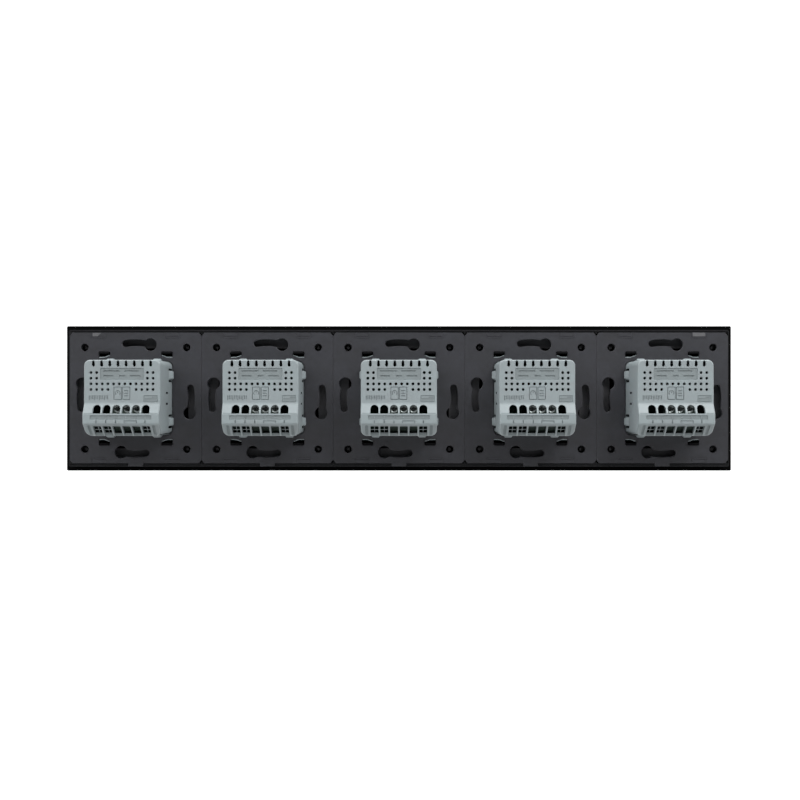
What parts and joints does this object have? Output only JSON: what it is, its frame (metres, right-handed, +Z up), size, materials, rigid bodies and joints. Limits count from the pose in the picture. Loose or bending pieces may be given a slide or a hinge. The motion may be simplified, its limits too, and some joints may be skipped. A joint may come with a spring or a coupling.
{
  "type": "touch dimmer switch",
  "caption": "Wall-mounted touch dimmer row: long black glass front in a plastic frame, mounting plates with keyhole slots, and boxed dimmer modules with screw terminals behind.",
  "frame": {"origin": "centre of the bounding box: middle gang's centre, half-way between the glass front and the rearmost housing face; the wall plane (rear face of the mounting plates) is y = -8.6 mm", "axes": "+X along the row of gangs, to the right for someone who faces the glass; +Y out of the back of the switch, into the wall; +Z up"},
  "size_m": [0.363, 0.0388, 0.079],
  "materials": {
    "glass_front": "polished, black behind the glass",
    "panel_frame": "fine matt",
    "mounting_plate": "fine spark-eroded texture",
    "rear_housing": "satin",
    "module_cover": "satin",
    "circuit_board": "solder-mask gloss",
    "terminal_board": "satin",
    "terminal_screw": "zinc plated",
    "clamp_cage": "nickel plated"
  },
  "bodies": {
    "modules": {"mounting_plate_1": "mounting_plate", "rear_housing_1": "rear_housing", "module_cover_1": "module_cover", "touch_board_1": "circuit_board", "power_board_1": "terminal_board", "mounting_plate_2": "mounting_plate", "rear_housing_2": "rear_housing", "module_cover_2": "module_cover", "touch_board_2": "circuit_board", "power_board_2": "terminal_board", "mounting_plate_3": "mounting_plate", "rear_housing_3": "rear_housing", "module_cover_3": "module_cover", "touch_board_3": "circuit_board", "power_board_3": "terminal_board", "mounting_plate_4": "mounting_plate", "rear_housing_4": "rear_housing", "module_cover_4": "module_cover", "touch_board_4": "circuit_board", "power_board_4": "terminal_board", "mounting_plate_5": "mounting_plate", "rear_housing_5": "rear_housing", "module_cover_5": "module_cover", "touch_board_5": "circuit_board", "power_board_5": "terminal_board"},
    "front_panel": {"glass_panel": "glass_front", "panel_frame": "panel_frame"},
    "terminal_screw_1_a": {"terminal_screw_1_a": "terminal_screw"},
    "clamp_cage_1_a": {"clamp_cage_1_a": "clamp_cage"},
    "terminal_screw_1_b": {"terminal_screw_1_b": "terminal_screw"},
    "clamp_cage_1_b": {"clamp_cage_1_b": "clamp_cage"},
    "terminal_screw_1_c": {"terminal_screw_1_c": "terminal_screw"},
    "clamp_cage_1_c": {"clamp_cage_1_c": "clamp_cage"},
    "terminal_screw_2_a": {"terminal_screw_2_a": "terminal_screw"},
    "clamp_cage_2_a": {"clamp_cage_2_a": "clamp_cage"},
    "terminal_screw_2_b": {"terminal_screw_2_b": "terminal_screw"},
    "clamp_cage_2_b": {"clamp_cage_2_b": "clamp_cage"},
    "terminal_screw_2_c": {"terminal_screw_2_c": "terminal_screw"},
    "clamp_cage_2_c": {"clamp_cage_2_c": "clamp_cage"},
    "terminal_screw_3_a": {"terminal_screw_3_a": "terminal_screw"},
    "clamp_cage_3_a": {"clamp_cage_3_a": "clamp_cage"},
    "terminal_screw_3_b": {"terminal_screw_3_b": "terminal_screw"},
    "clamp_cage_3_b": {"clamp_cage_3_b": "clamp_cage"},
    "terminal_screw_3_c": {"terminal_screw_3_c": "terminal_screw"},
    "clamp_cage_3_c": {"clamp_cage_3_c": "clamp_cage"},
    "terminal_screw_4_a": {"terminal_screw_4_a": "terminal_screw"},
    "clamp_cage_4_a": {"clamp_cage_4_a": "clamp_cage"},
    "terminal_screw_4_b": {"terminal_screw_4_b": "terminal_screw"},
    "clamp_cage_4_b": {"clamp_cage_4_b": "clamp_cage"},
    "terminal_screw_4_c": {"terminal_screw_4_c": "terminal_screw"},
    "clamp_cage_4_c": {"clamp_cage_4_c": "clamp_cage"},
    "terminal_screw_5_a": {"terminal_screw_5_a": "terminal_screw"},
    "clamp_cage_5_a": {"clamp_cage_5_a": "clamp_cage"},
    "terminal_screw_5_b": {"terminal_screw_5_b": "terminal_screw"},
    "clamp_cage_5_b": {"clamp_cage_5_b": "clamp_cage"},
    "terminal_screw_5_c": {"terminal_screw_5_c": "terminal_screw"},
    "clamp_cage_5_c": {"clamp_cage_5_c": "clamp_cage"}
  },
  "joints": [
    {"name": "panel_pull_off", "type": "slide", "parent": "modules", "child": "front_panel", "axis": [0, -1, 0], "range_m": [0, 0.02]},
    {"name": "screw_turn_1_a", "type": "hinge", "parent": "modules", "child": "terminal_screw_1_a", "pos_m": [-0.1495, 0.0116, -0.0053], "axis": [0, -1, 0], "range_deg": [0, 1800]},
    {"name": "clamp_rise_1_a", "type": "slide", "parent": "modules", "child": "clamp_cage_1_a", "axis": [0, 1, 0], "range_m": [0, 0.0025]},
    {"name": "screw_turn_1_b", "type": "hinge", "parent": "modules", "child": "terminal_screw_1_b", "pos_m": [-0.1445, 0.0116, -0.0053], "axis": [0, -1, 0], "range_deg": [0, 1800]},
    {"name": "clamp_rise_1_b", "type": "slide", "parent": "modules", "child": "clamp_cage_1_b", "axis": [0, 1, 0], "range_m": [0, 0.0025]},
    {"name": "screw_turn_1_c", "type": "hinge", "parent": "modules", "child": "terminal_screw_1_c", "pos_m": [-0.1395, 0.0116, -0.0053], "axis": [0, -1, 0], "range_deg": [0, 1800]},
    {"name": "clamp_rise_1_c", "type": "slide", "parent": "modules", "child": "clamp_cage_1_c", "axis": [0, 1, 0], "range_m": [0, 0.0025]},
    {"name": "screw_turn_2_a", "type": "hinge", "parent": "modules", "child": "terminal_screw_2_a", "pos_m": [-0.0785, 0.0116, -0.0053], "axis": [0, -1, 0], "range_deg": [0, 1800]},
    {"name": "clamp_rise_2_a", "type": "slide", "parent": "modules", "child": "clamp_cage_2_a", "axis": [0, 1, 0], "range_m": [0, 0.0025]},
    {"name": "screw_turn_2_b", "type": "hinge", "parent": "modules", "child": "terminal_screw_2_b", "pos_m": [-0.0735, 0.0116, -0.0053], "axis": [0, -1, 0], "range_deg": [0, 1800]},
    {"name": "clamp_rise_2_b", "type": "slide", "parent": "modules", "child": "clamp_cage_2_b", "axis": [0, 1, 0], "range_m": [0, 0.0025]},
    {"name": "screw_turn_2_c", "type": "hinge", "parent": "modules", "child": "terminal_screw_2_c", "pos_m": [-0.0685, 0.0116, -0.0053], "axis": [0, -1, 0], "range_deg": [0, 1800]},
    {"name": "clamp_rise_2_c", "type": "slide", "parent": "modules", "child": "clamp_cage_2_c", "axis": [0, 1, 0], "range_m": [0, 0.0025]},
    {"name": "screw_turn_3_a", "type": "hinge", "parent": "modules", "child": "terminal_screw_3_a", "pos_m": [-0.0075, 0.0116, -0.0053], "axis": [0, -1, 0], "range_deg": [0, 1800]},
    {"name": "clamp_rise_3_a", "type": "slide", "parent": "modules", "child": "clamp_cage_3_a", "axis": [0, 1, 0], "range_m": [0, 0.0025]},
    {"name": "screw_turn_3_b", "type": "hinge", "parent": "modules", "child": "terminal_screw_3_b", "pos_m": [-0.0025, 0.0116, -0.0053], "axis": [0, -1, 0], "range_deg": [0, 1800]},
    {"name": "clamp_rise_3_b", "type": "slide", "parent": "modules", "child": "clamp_cage_3_b", "axis": [0, 1, 0], "range_m": [0, 0.0025]},
    {"name": "screw_turn_3_c", "type": "hinge", "parent": "modules", "child": "terminal_screw_3_c", "pos_m": [0.0025, 0.0116, -0.0053], "axis": [0, -1, 0], "range_deg": [0, 1800]},
    {"name": "clamp_rise_3_c", "type": "slide", "parent": "modules", "child": "clamp_cage_3_c", "axis": [0, 1, 0], "range_m": [0, 0.0025]},
    {"name": "screw_turn_4_a", "type": "hinge", "parent": "modules", "child": "terminal_screw_4_a", "pos_m": [0.0635, 0.0116, -0.0053], "axis": [0, -1, 0], "range_deg": [0, 1800]},
    {"name": "clamp_rise_4_a", "type": "slide", "parent": "modules", "child": "clamp_cage_4_a", "axis": [0, 1, 0], "range_m": [0, 0.0025]},
    {"name": "screw_turn_4_b", "type": "hinge", "parent": "modules", "child": "terminal_screw_4_b", "pos_m": [0.0685, 0.0116, -0.0053], "axis": [0, -1, 0], "range_deg": [0, 1800]},
    {"name": "clamp_rise_4_b", "type": "slide", "parent": "modules", "child": "clamp_cage_4_b", "axis": [0, 1, 0], "range_m": [0, 0.0025]},
    {"name": "screw_turn_4_c", "type": "hinge", "parent": "modules", "child": "terminal_screw_4_c", "pos_m": [0.0735, 0.0116, -0.0053], "axis": [0, -1, 0], "range_deg": [0, 1800]},
    {"name": "clamp_rise_4_c", "type": "slide", "parent": "modules", "child": "clamp_cage_4_c", "axis": [0, 1, 0], "range_m": [0, 0.0025]},
    {"name": "screw_turn_5_a", "type": "hinge", "parent": "modules", "child": "terminal_screw_5_a", "pos_m": [0.1345, 0.0116, -0.0053], "axis": [0, -1, 0], "range_deg": [0, 1800]},
    {"name": "clamp_rise_5_a", "type": "slide", "parent": "modules", "child": "clamp_cage_5_a", "axis": [0, 1, 0], "range_m": [0, 0.0025]},
    {"name": "screw_turn_5_b", "type": "hinge", "parent": "modules", "child": "terminal_screw_5_b", "pos_m": [0.1395, 0.0116, -0.0053], "axis": [0, -1, 0], "range_deg": [0, 1800]},
    {"name": "clamp_rise_5_b", "type": "slide", "parent": "modules", "child": "clamp_cage_5_b", "axis": [0, 1, 0], "range_m": [0, 0.0025]},
    {"name": "screw_turn_5_c", "type": "hinge", "parent": "modules", "child": "terminal_screw_5_c", "pos_m": [0.1445, 0.0116, -0.0053], "axis": [0, -1, 0], "range_deg": [0, 1800]},
    {"name": "clamp_rise_5_c", "type": "slide", "parent": "modules", "child": "clamp_cage_5_c", "axis": [0, 1, 0], "range_m": [0, 0.0025]}
  ],
  "couplings": [
    {"joint": "screw_turn_1_a", "follows": "clamp_rise_1_a", "rad_per_m": 12566},
    {"joint": "screw_turn_1_b", "follows": "clamp_rise_1_b", "rad_per_m": 12566},
    {"joint": "screw_turn_1_c", "follows": "clamp_rise_1_c", "rad_per_m": 12566},
    {"joint": "screw_turn_2_a", "follows": "clamp_rise_2_a", "rad_per_m": 12566},
    {"joint": "screw_turn_2_b", "follows": "clamp_rise_2_b", "rad_per_m": 12566},
    {"joint": "screw_turn_2_c", "follows": "clamp_rise_2_c", "rad_per_m": 12566},
    {"joint": "screw_turn_3_a", "follows": "clamp_rise_3_a", "rad_per_m": 12566},
    {"joint": "screw_turn_3_b", "follows": "clamp_rise_3_b", "rad_per_m": 12566},
    {"joint": "screw_turn_3_c", "follows": "clamp_rise_3_c", "rad_per_m": 12566},
    {"joint": "screw_turn_4_a", "follows": "clamp_rise_4_a", "rad_per_m": 12566},
    {"joint": "screw_turn_4_b", "follows": "clamp_rise_4_b", "rad_per_m": 12566},
    {"joint": "screw_turn_4_c", "follows": "clamp_rise_4_c", "rad_per_m": 12566},
    {"joint": "screw_turn_5_a", "follows": "clamp_rise_5_a", "rad_per_m": 12566},
    {"joint": "screw_turn_5_b", "follows": "clamp_rise_5_b", "rad_per_m": 12566},
    {"joint": "screw_turn_5_c", "follows": "clamp_rise_5_c", "rad_per_m": 12566}
  ]
}
